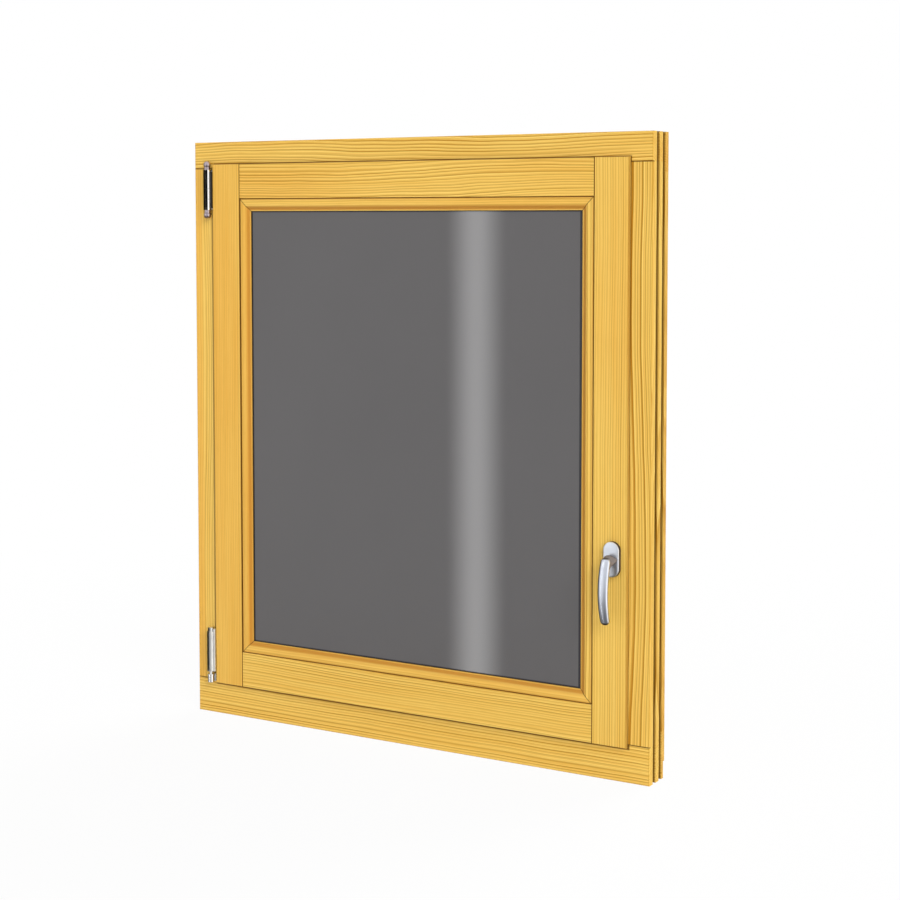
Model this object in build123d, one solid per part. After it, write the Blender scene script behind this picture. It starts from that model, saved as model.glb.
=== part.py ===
"""Timber tilt and turn window, closed, with a lever handle. Millimetres, +Z up, inside face towards -Y.

The frame's head and bottom rail run through and the jambs stand between them. The sash's stiles run through and
its rails sit between them. Every section is drawn as (distance inwards from the window's outer edge, depth),
with depth counted outwards from the frame's inside face.
"""

import math
import os

from build123d import *

# Whole window
WIDTH = 1046.0
HEIGHT = 1200.0
FRAME_DEPTH = 68.0

# Frame members: how wide each looks from inside
FRAME_SIDE = {"left": 61.0, "right": 53.0, "top": 54.5, "bottom": 72.0}
ARRIS_R = 2.0
STOP_HEIGHT = 18.0
STOP_FRONT = 42.0
SILL_REBATE_HEIGHT = 32.0
SILL_REBATE_DEPTH = 6.5

# Grooves down both outer sides, with the frame's tenons in line with them
GROOVE_WIDTH = 12.5
GROOVE_DEPTH = 7.0
GROOVE_ROUND = 1.0
GROOVE_STARTS = (15.5, 41.5)

# Sash: how far its lip's edge is from the frame's outer edge
SASH_EDGE = {"left": 52.0, "right": 44.0, "top": 45.5, "bottom": 66.0}
SASH_PROUD = 9.0
SASH_DEPTH = 68.0
LIP_GAP = 1.0
HARDWARE_GAP = 12.0
STOP_GAP = 6.0
STEP_DEPTH = 38.0
MEMBER_FACE = {"left": 69.5, "right": 69.5, "top": 71.0, "bottom": 73.0}
SASH_TENON_STARTS = (3.0, 19.0)
SASH_TENON_WIDTH = 9.0

# V joints where members meet, and how far a cutter runs past the wood
SEAM = 2.4
PAST = 1.0

# Glazing
GLASS_BELOW_FACE = 8.0
PANE = 4.0
CAVITY = 12.0
GLASS_EDGE_GAP = 5.0
SPACER_INSET = 8.0
SPACER_WIDTH = 7.0
TAPE = 2.0
LIP_SPLAY = 6.0
GASKET_SHOWS = 1.2
GASKET_WIDTH = 8.0

# Glazing bead: quirk, rounded crown, fall and lip, each as (inwards, below the sash's face, round)
BEAD_WIDTH = 26.0
BEAD_LEG = 4.0
BEAD_LEG_DEEP = 14.0
BEAD_GASKET = 1.5
BEAD_FACE = ((0.0, 3.2), (1.6, 3.2, 0.4), (2.0, 0.4, 1.8), (15.0, 0.2, 12.0), (22.2, 4.8, 1.0), (26.0, 5.2))

# Lever handle: the bow as (above the axis, off the sash), the neck's two branches with a radius too
HANDLE_FROM_EDGE = 28.0
HANDLE_HEIGHT = 417.0
ROSE_WIDTH = 32.0
ROSE_HEIGHT = 66.0
ROSE_THICK = 10.0
ROSE_ROUND = 2.5
NECK_PLAY = 0.5
NECK = (((0.0, ROSE_THICK / 2, 7.5), (0.0, 31.0, 8.0)), ((0.0, ROSE_THICK, 6.0), (-18.0, 35.0, 5.5)))
LEVER_HALF_WIDE = 10.0
LEVER_HALF_THICK = 6.0
LEVER_BOW = ((-2.0, 31.0), (-55.0, 41.0), (-108.5, 33.5))
SPINDLE = 7.0
SPINDLE_DEEP = 26.0
SPINDLE_BORE_R = 6.0

# Hinges, which share one axis
HINGE_FROM_EDGE = 39.5
HINGE_AXIS_PROUD = 9.5
BARREL_R = 8.0
PIN_R = 3.5
PLATE = 1.4
LEAF_THICK = 6.0
KNUCKLE = 1.4

# Top hinge, as distances down from the window's top
TOP_BARREL_DOWN = (140.0, 57.0)
TOP_LEAF_DOWN = (136.0, 61.0)
TOP_KNUCKLES_DOWN = (75.5, 95.5, 117.5)
CAP_NECK_R = 6.2
CAP_BALL_R = 7.6
CAP_HEIGHT = 18.0

# Bottom hinge, as heights
LOW_BARREL = (90.5, 174.0)
LOW_COLLAR_TOP = 183.0
LOW_COLLAR_R = 6.2
LOW_LEAF_TOP = 181.0
LOW_BEARING = (67.0, 84.0)
LOW_BEARING_R = 6.8
LOW_WASHER_R = 7.6
LOW_WASHER = 2.5

# Rain rail outside
RAIL_SHELL = 2.0
RAIL_PROUD = 8.0
RAIL_DROP = 12.0
RAIL_UPSTAND = 2.5
RAIL_ROUND = 1.5
RAIL_CAP = 3.0

LEFT = -WIDTH / 2
RIGHT = WIDTH / 2
SASH_BACK = SASH_DEPTH - SASH_PROUD
GLASS_FRONT = GLASS_BELOW_FACE - SASH_PROUD
GLASS_BACK = GLASS_FRONT + 3 * PANE + 2 * CAVITY
REBATE = GLASS_BACK + TAPE
BEAD_EDGE = {side: SASH_EDGE[side] + MEMBER_FACE[side] for side in SASH_EDGE}
SIDES = ("left", "right", "top", "bottom")
UPRIGHTS = ("left", "right")
ACROSS = ("top", "bottom")
OPPOSITE = {"left": "right", "right": "left", "top": "bottom", "bottom": "top"}


def at(depth):
    """Y of a depth counted from the frame's inside face."""
    return depth - FRAME_DEPTH / 2


def spot(side, inward, depth, along):
    """The point a given way in from one outer edge of the window."""
    if side == "left":
        return Vector(LEFT + inward, at(depth), along)
    if side == "right":
        return Vector(RIGHT - inward, at(depth), along)
    if side == "top":
        return Vector(along, at(depth), HEIGHT - inward)
    return Vector(along, at(depth), inward)


def corner_arc(before, corner, after, radius):
    """Start, middle and end of the round at one corner of a section."""
    here = Vector(*corner)
    back = (Vector(*before) - here).normalized()
    onward = (Vector(*after) - here).normalized()
    half = math.radians(back.get_angle(onward)) / 2
    reach = radius / math.tan(half)
    bisector = (back + onward).normalized()
    middle = here + bisector * (radius / math.sin(half) - radius)
    return here + back * reach, middle, here + onward * reach


def section(points, place):
    """A face from section points, where a third number rounds that corner."""
    pieces = []
    count = len(points)
    for index, point in enumerate(points):
        before = points[index - 1][:2]
        after = points[(index + 1) % count][:2]
        if len(point) == 3:
            pieces.append(corner_arc(before, point[:2], after, point[2]))
        else:
            pieces.append((Vector(*point),))
    edges = []
    for index, piece in enumerate(pieces):
        placed = [place(p.X, p.Y) for p in piece]
        if len(placed) == 3:
            edges.append(Edge.make_three_point_arc(*placed))
        following = pieces[(index + 1) % count][0]
        edges.append(Edge.make_line(placed[-1], place(following.X, following.Y)))
    return Face(Wire(edges))


def bar(points, side, start, end):
    """A member along one side of the window, from its section."""
    direction = (0, 0, 1) if side in UPRIGHTS else (1, 0, 0)
    face = section(points, lambda inward, depth: spot(side, inward, depth, start))
    return extrude(face, amount=end - start, dir=direction)


def block(x, depth, z):
    """A box between pairs of limits."""
    box = Box(x[1] - x[0], depth[1] - depth[0], z[1] - z[0])
    return Pos((x[0] + x[1]) / 2, at((depth[0] + depth[1]) / 2), (z[0] + z[1]) / 2) * box


def even(amount):
    """The same inset on every side."""
    return dict.fromkeys(SIDES, amount)


def inset_by(amounts, extra):
    """Each side's inset with the same amount added."""
    return {side: amounts[side] + extra for side in SIDES}


def sheet(inset, start, end):
    """A plate between two depths, each edge inset from the window's outer edge."""
    return block(
        (LEFT + inset["left"], RIGHT - inset["right"]),
        (start, end),
        (inset["bottom"], HEIGHT - inset["top"]),
    )


def ring(inset, width, start, end):
    """A flat rectangular ring between two depths."""
    return sheet(inset, start, end) - sheet(inset_by(inset, width), start - PAST, end + PAST)


def seam_cut(side, inward, face_depth, start, end):
    """The V cut along a joint line on an inside face."""
    reach = SEAM / 2
    points = (
        (inward - reach, face_depth - reach),
        (inward, face_depth + reach),
        (inward + reach, face_depth - reach),
    )
    return bar(points, side, start, end)


def between(starts, width, low, high):
    """Depth ranges left over between equal layers."""
    edges = [low]
    for start in starts:
        edges += [start, start + width]
    edges.append(high)
    return list(zip(edges[::2], edges[1::2]))


def shoulders(side, reaches):
    """Blocks that cut a member's end back beside its tenons, one per depth range."""
    span = WIDTH if side in UPRIGHTS else HEIGHT
    cuts = []
    for (start, end), reach in reaches:
        inset = even(-PAST)
        inset[OPPOSITE[side]] = span - reach
        cuts.append(sheet(inset, start, end))
    return cuts


def frame_section(side):
    """Section of a frame member."""
    face = FRAME_SIDE[side]
    stop = face + STOP_HEIGHT
    points = [
        (0.0, 0.0),
        (face, 0.0, ARRIS_R),
        (face, STOP_FRONT),
        (stop, STOP_FRONT, ARRIS_R / 2),
        (stop, FRAME_DEPTH, ARRIS_R),
    ]
    if side == "bottom":
        shoulder = FRAME_DEPTH - SILL_REBATE_DEPTH
        points += [(SILL_REBATE_HEIGHT, FRAME_DEPTH), (SILL_REBATE_HEIGHT, shoulder), (0.0, shoulder)]
    else:
        points.append((0.0, FRAME_DEPTH))
    return points


def grooves():
    """The grooves down each outer side, past the ends of the head and bottom rail."""
    cuts = []
    for side in UPRIGHTS:
        for start in GROOVE_STARTS:
            end = start + GROOVE_WIDTH
            points = (
                (-PAST, start),
                (GROOVE_DEPTH, start, GROOVE_ROUND),
                (GROOVE_DEPTH, end, GROOVE_ROUND),
                (-PAST, end),
            )
            cuts.append(bar(points, side, -PAST, HEIGHT + PAST))
    return cuts


def frame_parts():
    """Head and bottom rail through, jambs between on double tenons, all outer arrises rounded."""
    outline = sheet(even(0.0), 0.0, FRAME_DEPTH)
    outline = fillet(outline.edges().filter_by(Axis.Y, reverse=True), ARRIS_R)
    whole = {side: bar(frame_section(side), side, 0.0, HEIGHT) & outline for side in UPRIGHTS}
    whole |= {side: bar(frame_section(side), side, LEFT, RIGHT) & outline for side in ACROSS}
    layers = Part() + [sheet(even(-PAST), start, start + GROOVE_WIDTH) for start in GROOVE_STARTS]
    gaps = between(GROOVE_STARTS, GROOVE_WIDTH, -PAST, FRAME_DEPTH + PAST)
    ends = []
    seams = []
    for side in ACROSS:
        face = FRAME_SIDE[side]
        ends += shoulders(side, zip(gaps, (face, face, face + STOP_HEIGHT)))
        seams.append(seam_cut(side, face, 0.0, LEFT, LEFT + FRAME_SIDE["left"]))
        seams.append(seam_cut(side, face, 0.0, RIGHT - FRAME_SIDE["right"], RIGHT))
    tenons = (whole["left"] & layers) + (whole["right"] & layers)
    cuts = grooves() + seams
    return {
        "frame_jamb_left": whole["left"] - ends - cuts,
        "frame_jamb_right": whole["right"] - ends - cuts,
        "frame_head": whole["top"] - tenons - cuts,
        "frame_sill": whole["bottom"] - tenons - cuts,
    }


def sash_section(side):
    """Section of a sash member, counted from the window's outer edge."""
    lip = SASH_EDGE[side]
    body = FRAME_SIDE[side] + HARDWARE_GAP
    outer = FRAME_SIDE[side] + STOP_HEIGHT + STOP_GAP
    inner = BEAD_EDGE[side]
    sight = inner + BEAD_WIDTH
    return (
        (lip, -SASH_PROUD),
        (inner, -SASH_PROUD, ARRIS_R / 2),
        (inner, REBATE),
        (sight, REBATE),
        (sight, SASH_BACK - LIP_SPLAY * 2),
        (sight - LIP_SPLAY, SASH_BACK),
        (outer, SASH_BACK, ARRIS_R),
        (outer, STEP_DEPTH),
        (body, STEP_DEPTH, ARRIS_R / 2),
        (body, -LIP_GAP),
        (lip, -LIP_GAP),
    )


def sash_outline():
    """The closed sash's steps on all four sides, its face's arris rounded."""
    lip = sheet(SASH_EDGE, -SASH_PROUD, -LIP_GAP)
    lip = fillet(lip.edges().group_by(Axis.Y)[0], ARRIS_R)
    body = inset_by(FRAME_SIDE, HARDWARE_GAP)
    outer = inset_by(FRAME_SIDE, STOP_HEIGHT + STOP_GAP)
    return lip + sheet(body, -LIP_GAP, STEP_DEPTH) + sheet(outer, STEP_DEPTH, SASH_BACK)


def sash_parts():
    """Stiles through, rails between on double tenons, with the handle's bore."""
    low, high = SASH_EDGE["bottom"], HEIGHT - SASH_EDGE["top"]
    near, far = LEFT + SASH_EDGE["left"], RIGHT - SASH_EDGE["right"]
    outline = sash_outline()
    whole = {side: bar(sash_section(side), side, low, high) & outline for side in UPRIGHTS}
    whole |= {side: bar(sash_section(side), side, near, far) & outline for side in ACROSS}
    layers = Part() + [
        sheet(even(-PAST), start, start + SASH_TENON_WIDTH) for start in SASH_TENON_STARTS
    ]
    gaps = between(SASH_TENON_STARTS, SASH_TENON_WIDTH, -SASH_PROUD - PAST, REBATE)
    gaps.append((REBATE, SASH_BACK + PAST))
    ends = []
    seams = []
    for side in UPRIGHTS:
        inner = BEAD_EDGE[side]
        ends += shoulders(side, zip(gaps, (inner, inner, inner, inner + BEAD_WIDTH)))
        seams.append(seam_cut(side, inner, -SASH_PROUD, low, high))
    tenons = (whole["top"] & layers) + (whole["bottom"] & layers)
    bore = handle_place(-SASH_PROUD + SPINDLE_DEEP / 2) * Cylinder(SPINDLE_BORE_R, SPINDLE_DEEP + PAST)
    return {
        "sash_stile_left": whole["left"] - tenons - seams,
        "sash_stile_right": whole["right"] - tenons - seams - bore,
        "sash_rail_top": whole["top"] - ends - seams,
        "sash_rail_bottom": whole["bottom"] - ends - seams,
    }


def bead_section(side):
    """Section of a glazing bead with its leg into the rebate."""
    base = GLASS_FRONT - BEAD_GASKET
    outer = BEAD_EDGE[side]
    points = [(outer + inward, depth - SASH_PROUD, *round_off) for inward, depth, *round_off in BEAD_FACE]
    points += [(outer + BEAD_WIDTH, base), (outer + BEAD_LEG, base)]
    points += [(outer + BEAD_LEG, base + BEAD_LEG_DEEP), (outer, base + BEAD_LEG_DEEP)]
    return points


def bead_parts():
    """Four moulded beads mitred at the corners."""
    left, right = LEFT + BEAD_EDGE["left"], RIGHT - BEAD_EDGE["right"]
    low, high = BEAD_EDGE["bottom"], HEIGHT - BEAD_EDGE["top"]
    reach = (right - left) / 2
    mitre = {
        "left": ((left, low), (left + reach, low + reach), (left + reach, high - reach), (left, high)),
        "right": ((right, low), (right - reach, low + reach), (right - reach, high - reach), (right, high)),
        "top": ((left, high), (left + reach, high - reach), (right, high)),
        "bottom": ((left, low), (left + reach, low + reach), (right, low)),
    }
    parts = {}
    for side in SIDES:
        start, end = (low, high) if side in UPRIGHTS else (left, right)
        full = bar(bead_section(side), side, start, end)
        corners = [Vector(x, at(-SASH_PROUD) - PAST, z) for x, z in mitre[side]]
        keep = extrude(Face(Wire.make_polygon(corners)), amount=SASH_DEPTH, dir=(0, 1, 0))
        parts[f"glazing_bead_{side}"] = full & keep
    return parts


def glazing_parts():
    """Three panes, two spacers, the gaskets either side and the sash's seal."""
    pane_edge = inset_by(BEAD_EDGE, GLASS_EDGE_GAP)
    spacer_edge = inset_by(pane_edge, SPACER_INSET)
    parts = {}
    front = GLASS_FRONT
    for name in ("inner", "middle", "outer"):
        back = front + PANE
        parts[f"glass_{name}"] = sheet(pane_edge, front, back)
        if name != "outer":
            parts[f"spacer_{name}"] = ring(spacer_edge, SPACER_WIDTH, back, back + CAVITY)
        front = back + CAVITY
    shown = inset_by(BEAD_EDGE, BEAD_WIDTH + GASKET_SHOWS - GASKET_WIDTH)
    parts["gasket_inner"] = ring(shown, GASKET_WIDTH, GLASS_FRONT - BEAD_GASKET, GLASS_FRONT)
    parts["gasket_outer"] = ring(shown, GASKET_WIDTH, GLASS_BACK, REBATE)
    seat = inset_by(FRAME_SIDE, HARDWARE_GAP)
    parts["sash_seal"] = ring(seat, STOP_HEIGHT - HARDWARE_GAP, STEP_DEPTH, STOP_FRONT)
    return parts


def handle_place(depth):
    """A place on the handle's axis, local Z along +Y."""
    x = RIGHT - SASH_EDGE["right"] - HANDLE_FROM_EDGE
    return Pos(x, at(depth), HANDLE_HEIGHT) * Rot(-90, 0, 0)


def round_end(plane, turn):
    """Half a flattened ball that closes an oval bar at a plane."""
    half = Ellipse(LEVER_HALF_WIDE, LEVER_HALF_THICK) & Pos(LEVER_HALF_WIDE / 2, 0) * Rectangle(
        LEVER_HALF_WIDE, 2 * LEVER_HALF_WIDE
    )
    return revolve(plane * half, axis=Axis(plane.origin, plane.y_dir), revolution_arc=turn)


def lever():
    """An oval swept along the lever's bow, with round ends and a neck that spreads to meet it."""
    axis = handle_place(-SASH_PROUD).position
    bow = Edge.make_three_point_arc(*[axis + Vector(0, -out, up) for up, out in LEVER_BOW])
    top, tip = [Plane(origin=bow @ end, x_dir=(1, 0, 0), z_dir=bow % end) for end in (0, 1)]
    body = sweep(top * Ellipse(LEVER_HALF_WIDE, LEVER_HALF_THICK), path=bow)
    body += round_end(top, 180) + round_end(tip, -180)
    for branch in NECK:
        start, end = [axis + Vector(0, -out, up) for up, out, _ in branch]
        start_r, end_r = [radius for _, _, radius in branch]
        reach = end - start
        body += Plane(origin=(start + end) / 2, z_dir=reach) * Cone(start_r, end_r, reach.length)
    return body


def handle_parts():
    """Rosette, lever with its neck, and the square spindle."""
    rose = extrude(SlotOverall(ROSE_HEIGHT, ROSE_WIDTH, rotation=90), amount=ROSE_THICK)
    rose = fillet(rose.edges().group_by(Axis.Z)[0], ROSE_ROUND)
    middle = -SASH_PROUD - ROSE_THICK / 2
    hole_r = NECK[0][0][2] + NECK_PLAY
    hole = handle_place(middle) * Cylinder(hole_r, ROSE_THICK + 2 * PAST)
    end = -SASH_PROUD + SPINDLE_DEEP - PAST
    spindle = handle_place((middle + end) / 2) * Box(SPINDLE, SPINDLE, end - middle)
    return {
        "handle_rosette": handle_place(-SASH_PROUD - ROSE_THICK) * rose - hole,
        "handle_lever": lever(),
        "handle_spindle": spindle,
    }


def turned(radius, low, high):
    """A cylinder on the hinges' axis."""
    x = LEFT + HINGE_FROM_EDGE
    return Pos(x, at(-HINGE_AXIS_PROUD), (low + high) / 2) * Cylinder(radius, high - low)


def knuckle_lines(heights):
    """V grooves turned round the hinges' axis."""
    x = LEFT + HINGE_FROM_EDGE
    reach = KNUCKLE / 2
    cuts = []
    for height in heights:
        points = ((BARREL_R + reach, -reach), (BARREL_R - reach, 0.0), (BARREL_R + reach, reach))
        vee = Face(Wire.make_polygon([Vector(radius, 0, z) for radius, z in points]))
        cuts.append(Pos(x, at(-HINGE_AXIS_PROUD), height) * revolve(vee, axis=Axis.Z))
    return cuts


def ball_cap(end, up):
    """A neck and ball that close the pin at one end of the barrel."""
    x = LEFT + HINGE_FROM_EDGE
    middle = end + up * (CAP_HEIGHT - CAP_BALL_R)
    neck = turned(CAP_NECK_R, min(end, middle), max(end, middle))
    return neck + Pos(x, at(-HINGE_AXIS_PROUD), middle) * Sphere(CAP_BALL_R)


def hinge_foot(reach, low, high):
    """A plate screwed to the jamb and the web that carries a barrel off it."""
    x = LEFT + HINGE_FROM_EDGE
    web = block((x - reach, x + reach), (-HINGE_AXIS_PROUD, 0.0), (low + PLATE, high - PLATE))
    plate = block((x - BARREL_R, x + BARREL_R), (-PLATE, 0.0), (low, high))
    return web + fillet(plate.edges().filter_by(Axis.Y), BARREL_R / 2)


def hinge_leaf(low, high):
    """The arm from a barrel to the sash's edge, rounded along its free side."""
    start = LEFT + HINGE_FROM_EDGE
    end = LEFT + SASH_EDGE["left"]
    middle = -HINGE_AXIS_PROUD
    arm = block((start, end), (middle - LEAF_THICK / 2, middle + LEAF_THICK / 2), (low, high))
    return fillet(arm.edges().filter_by(Axis.Z).group_by(Axis.X)[-1].sort_by(Axis.Y)[0], LEAF_THICK / 3)


def hinge_parts():
    """The upper bearing and the lower corner bearing, coaxial."""
    low, high = [HEIGHT - down for down in TOP_BARREL_DOWN]
    lines = knuckle_lines([HEIGHT - down for down in TOP_KNUCKLES_DOWN])
    pin = turned(PIN_R, low, high)
    caps = ball_cap(high, 1) + ball_cap(low, -1)
    barrel = turned(BARREL_R, low, high)
    leaf = hinge_leaf(*[HEIGHT - down for down in TOP_LEAF_DOWN]) - barrel
    low_pin = turned(PIN_R, LOW_BEARING[0] + PLATE, LOW_BARREL[1])
    band = turned(BARREL_R, *LOW_BARREL) + turned(LOW_COLLAR_R, LOW_BARREL[1], LOW_COLLAR_TOP)
    stub = turned(LOW_BEARING_R, *LOW_BEARING) + turned(LOW_WASHER_R, LOW_BEARING[1] - LOW_WASHER, LOW_BEARING[1])
    return {
        "hinge_top_bearing": barrel + hinge_foot(PIN_R, low, high) - lines - pin,
        "hinge_top_leaf": leaf,
        "hinge_top_pin": pin + caps,
        "hinge_bottom_bearing": stub + hinge_foot(PIN_R, *LOW_BEARING) - low_pin,
        "hinge_bottom_band": band + hinge_leaf(LOW_BARREL[0], LOW_LEAF_TOP) - low_pin,
        "hinge_bottom_pin": low_pin,
    }


def rain_rail_parts():
    """Drained rail on the bottom rail's outer stop, with an end cap each side."""
    top = FRAME_SIDE["bottom"] + STOP_HEIGHT
    front = STOP_FRONT + RAIL_SHELL
    back = FRAME_DEPTH
    shell = RAIL_SHELL
    nose = back + RAIL_PROUD
    fall = top - RAIL_DROP / 2
    rail = (
        (top, front),
        (top + shell + RAIL_UPSTAND, front),
        (top + shell + RAIL_UPSTAND, front + shell),
        (top + shell, front + shell),
        (top + shell, back, RAIL_ROUND),
        (fall, nose, RAIL_ROUND),
        (top - RAIL_DROP, nose),
        (top - RAIL_DROP, nose - shell),
        (fall - shell / 2, nose - shell),
        (top, back - shell / 2),
    )
    cover = (
        (top, front),
        (top + shell + RAIL_UPSTAND, front),
        (top + shell, front + 2 * shell),
        (top + shell, back, RAIL_ROUND),
        (fall, nose, RAIL_ROUND),
        (top - RAIL_DROP, nose),
        (top - RAIL_DROP, back),
        (top, back),
    )
    start = LEFT + FRAME_SIDE["left"] + STOP_HEIGHT
    end = RIGHT - FRAME_SIDE["right"] - STOP_HEIGHT
    return {
        "rain_rail": bar(rail, "bottom", start + RAIL_CAP, end - RAIL_CAP),
        "rain_rail_cap_left": bar(cover, "bottom", start, start + RAIL_CAP),
        "rain_rail_cap_right": bar(cover, "bottom", end - RAIL_CAP, end),
    }


def main():
    """Builds every piece and writes it out."""
    os.makedirs("parts", exist_ok=True)
    parts = frame_parts()
    parts |= sash_parts()
    parts |= bead_parts()
    parts |= glazing_parts()
    parts |= handle_parts()
    parts |= hinge_parts()
    parts |= rain_rail_parts()
    for name, shape in parts.items():
        export_step(shape, f"parts/{name}.step")


main()
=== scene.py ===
"""A closed timber tilt and turn window, dressed around its packed construction.

The construction's timbers, panes and fittings are carried over and given their finishes here. The moulded
glazing beads, the handle's rosette and its lever are built again as finer meshes.
"""

import logging
import math
from collections.abc import Callable, Mapping, Sequence
from dataclasses import dataclass, field
from enum import Enum
from typing import Any, Generic, Protocol, TypeVar

import bpy
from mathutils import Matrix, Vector


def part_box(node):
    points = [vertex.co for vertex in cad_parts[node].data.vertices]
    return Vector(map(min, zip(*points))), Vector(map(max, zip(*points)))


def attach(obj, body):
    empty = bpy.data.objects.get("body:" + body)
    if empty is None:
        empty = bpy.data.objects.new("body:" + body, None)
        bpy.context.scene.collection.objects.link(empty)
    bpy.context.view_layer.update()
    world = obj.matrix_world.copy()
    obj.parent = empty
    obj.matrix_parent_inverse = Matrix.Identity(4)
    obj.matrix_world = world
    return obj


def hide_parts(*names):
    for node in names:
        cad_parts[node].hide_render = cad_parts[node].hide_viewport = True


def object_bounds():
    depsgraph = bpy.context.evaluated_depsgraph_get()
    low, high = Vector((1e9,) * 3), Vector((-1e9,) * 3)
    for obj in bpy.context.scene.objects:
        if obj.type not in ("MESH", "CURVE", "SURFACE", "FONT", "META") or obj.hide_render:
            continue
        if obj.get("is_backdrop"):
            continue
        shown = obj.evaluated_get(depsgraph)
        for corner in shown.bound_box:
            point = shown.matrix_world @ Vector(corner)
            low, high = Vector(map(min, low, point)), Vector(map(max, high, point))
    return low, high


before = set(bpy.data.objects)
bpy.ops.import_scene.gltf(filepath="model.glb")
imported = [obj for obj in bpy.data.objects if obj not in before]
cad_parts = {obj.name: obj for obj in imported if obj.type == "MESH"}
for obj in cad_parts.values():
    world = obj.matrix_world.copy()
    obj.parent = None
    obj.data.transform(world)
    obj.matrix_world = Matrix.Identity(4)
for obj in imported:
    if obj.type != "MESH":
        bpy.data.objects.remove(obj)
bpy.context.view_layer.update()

MM = 0.001
SMOOTH_BELOW = math.radians(32)

log = logging.getLogger("window")

Colour = tuple[float, float, float]
Point = tuple[float, float, float]
Pair = tuple[float, float]
Weave = tuple[float, float, float, float]
Owner = TypeVar("Owner", bpy.types.Material, bpy.types.World)


def srgb(red: int, green: int, blue: int) -> Colour:
    """Turns a screen colour into the linear one that shaders take.

    Args:
        red: Red from 0 to 255.
        green: Green from 0 to 255.
        blue: Blue from 0 to 255.

    Returns:
        The linear colour.
    """
    share = [channel / 255 for channel in (red, green, blue)]
    return tuple(s / 12.92 if s <= 0.04045 else ((s + 0.055) / 1.055) ** 2.4 for s in share)


class Side(Enum):
    """One of the window's four sides, seen from inside."""

    LEFT = "left"
    RIGHT = "right"
    TOP = "top"
    BOTTOM = "bottom"

    @property
    def upright(self) -> bool:
        """Whether the member on this side stands upright."""
        return self in (Side.LEFT, Side.RIGHT)


class Run(Enum):
    """Which way a grain or a line runs."""

    ACROSS = "across"
    UPRIGHT = "upright"


class Signal:
    """A shader socket on which arithmetic can be written."""

    def __init__(self, tree: bpy.types.NodeTree, socket: bpy.types.NodeSocket) -> None:
        """Keeps the socket and the tree it is in.

        Args:
            tree: The node tree.
            socket: The output socket to work on.
        """
        self.tree = tree
        self.socket = socket

    def maths(self, operation: str, *terms: "Signal | float", clamp: bool = False) -> "Signal":
        """Adds one Math node.

        Args:
            operation: The node's operation.
            terms: Its values or links, in order.
            clamp: Whether the result is kept from 0 to 1.

        Returns:
            The node's result.
        """
        node = self.tree.nodes.new("ShaderNodeMath")
        node.operation = operation
        node.use_clamp = clamp
        for slot, term in zip(node.inputs, terms):
            if isinstance(term, Signal):
                self.tree.links.new(term.socket, slot)
            else:
                slot.default_value = term
        return Signal(self.tree, node.outputs[0])

    def __add__(self, other: "Signal | float") -> "Signal":
        """Sum."""
        return self.maths("ADD", self, other)

    def __radd__(self, other: float) -> "Signal":
        """Sum, with the number first."""
        return self.maths("ADD", other, self)

    def __sub__(self, other: "Signal | float") -> "Signal":
        """Difference."""
        return self.maths("SUBTRACT", self, other)

    def __rsub__(self, other: float) -> "Signal":
        """Difference, with the number first."""
        return self.maths("SUBTRACT", other, self)

    def __mul__(self, other: "Signal | float") -> "Signal":
        """Product."""
        return self.maths("MULTIPLY", self, other)

    def __rmul__(self, other: float) -> "Signal":
        """Product, with the number first."""
        return self.maths("MULTIPLY", other, self)

    def __truediv__(self, other: "Signal | float") -> "Signal":
        """Quotient."""
        return self.maths("DIVIDE", self, other)

    def __rtruediv__(self, other: float) -> "Signal":
        """Quotient, with the number first."""
        return self.maths("DIVIDE", other, self)

    def __pow__(self, other: "Signal | float") -> "Signal":
        """Power."""
        return self.maths("POWER", self, other)

    def __rpow__(self, other: float) -> "Signal":
        """Power, with the number first."""
        return self.maths("POWER", other, self)

    def root(self) -> "Signal":
        """Square root."""
        return self.maths("SQRT", self)

    def whole(self) -> "Signal":
        """The whole number below."""
        return self.maths("FLOOR", self)

    def part(self) -> "Signal":
        """What is left above the whole number."""
        return self.maths("FRACT", self)

    def size(self) -> "Signal":
        """The value without its sign."""
        return self.maths("ABSOLUTE", self)

    def least(self, other: "Signal | float") -> "Signal":
        """The smaller of two."""
        return self.maths("MINIMUM", self, other)

    def most(self, other: "Signal | float") -> "Signal":
        """The larger of two."""
        return self.maths("MAXIMUM", self, other)

    def between(self, low: float, high: float) -> "Signal":
        """Goes evenly from 0 to 1 between two values, and stays there past them.

        Args:
            low: Where it leaves 0.
            high: Where it reaches 1, which may be the smaller value.

        Returns:
            The share.
        """
        return self.maths("MULTIPLY", self - low, 1 / (high - low), clamp=True)


@dataclass(frozen=True)
class Ramp:
    """A tone that comes in along a distance and stays. Its ends are in millimetres.

    Attributes:
        start: Where it starts to show.
        full: Where it is full, which may be the smaller value.
        share: How strong it is from there on.
    """

    start: float
    full: float
    share: float = 1.0

    def over(self, distance: Signal) -> Signal:
        """How strongly it shows at a distance in metres."""
        return distance.between(self.start * MM, self.full * MM) * self.share


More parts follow.
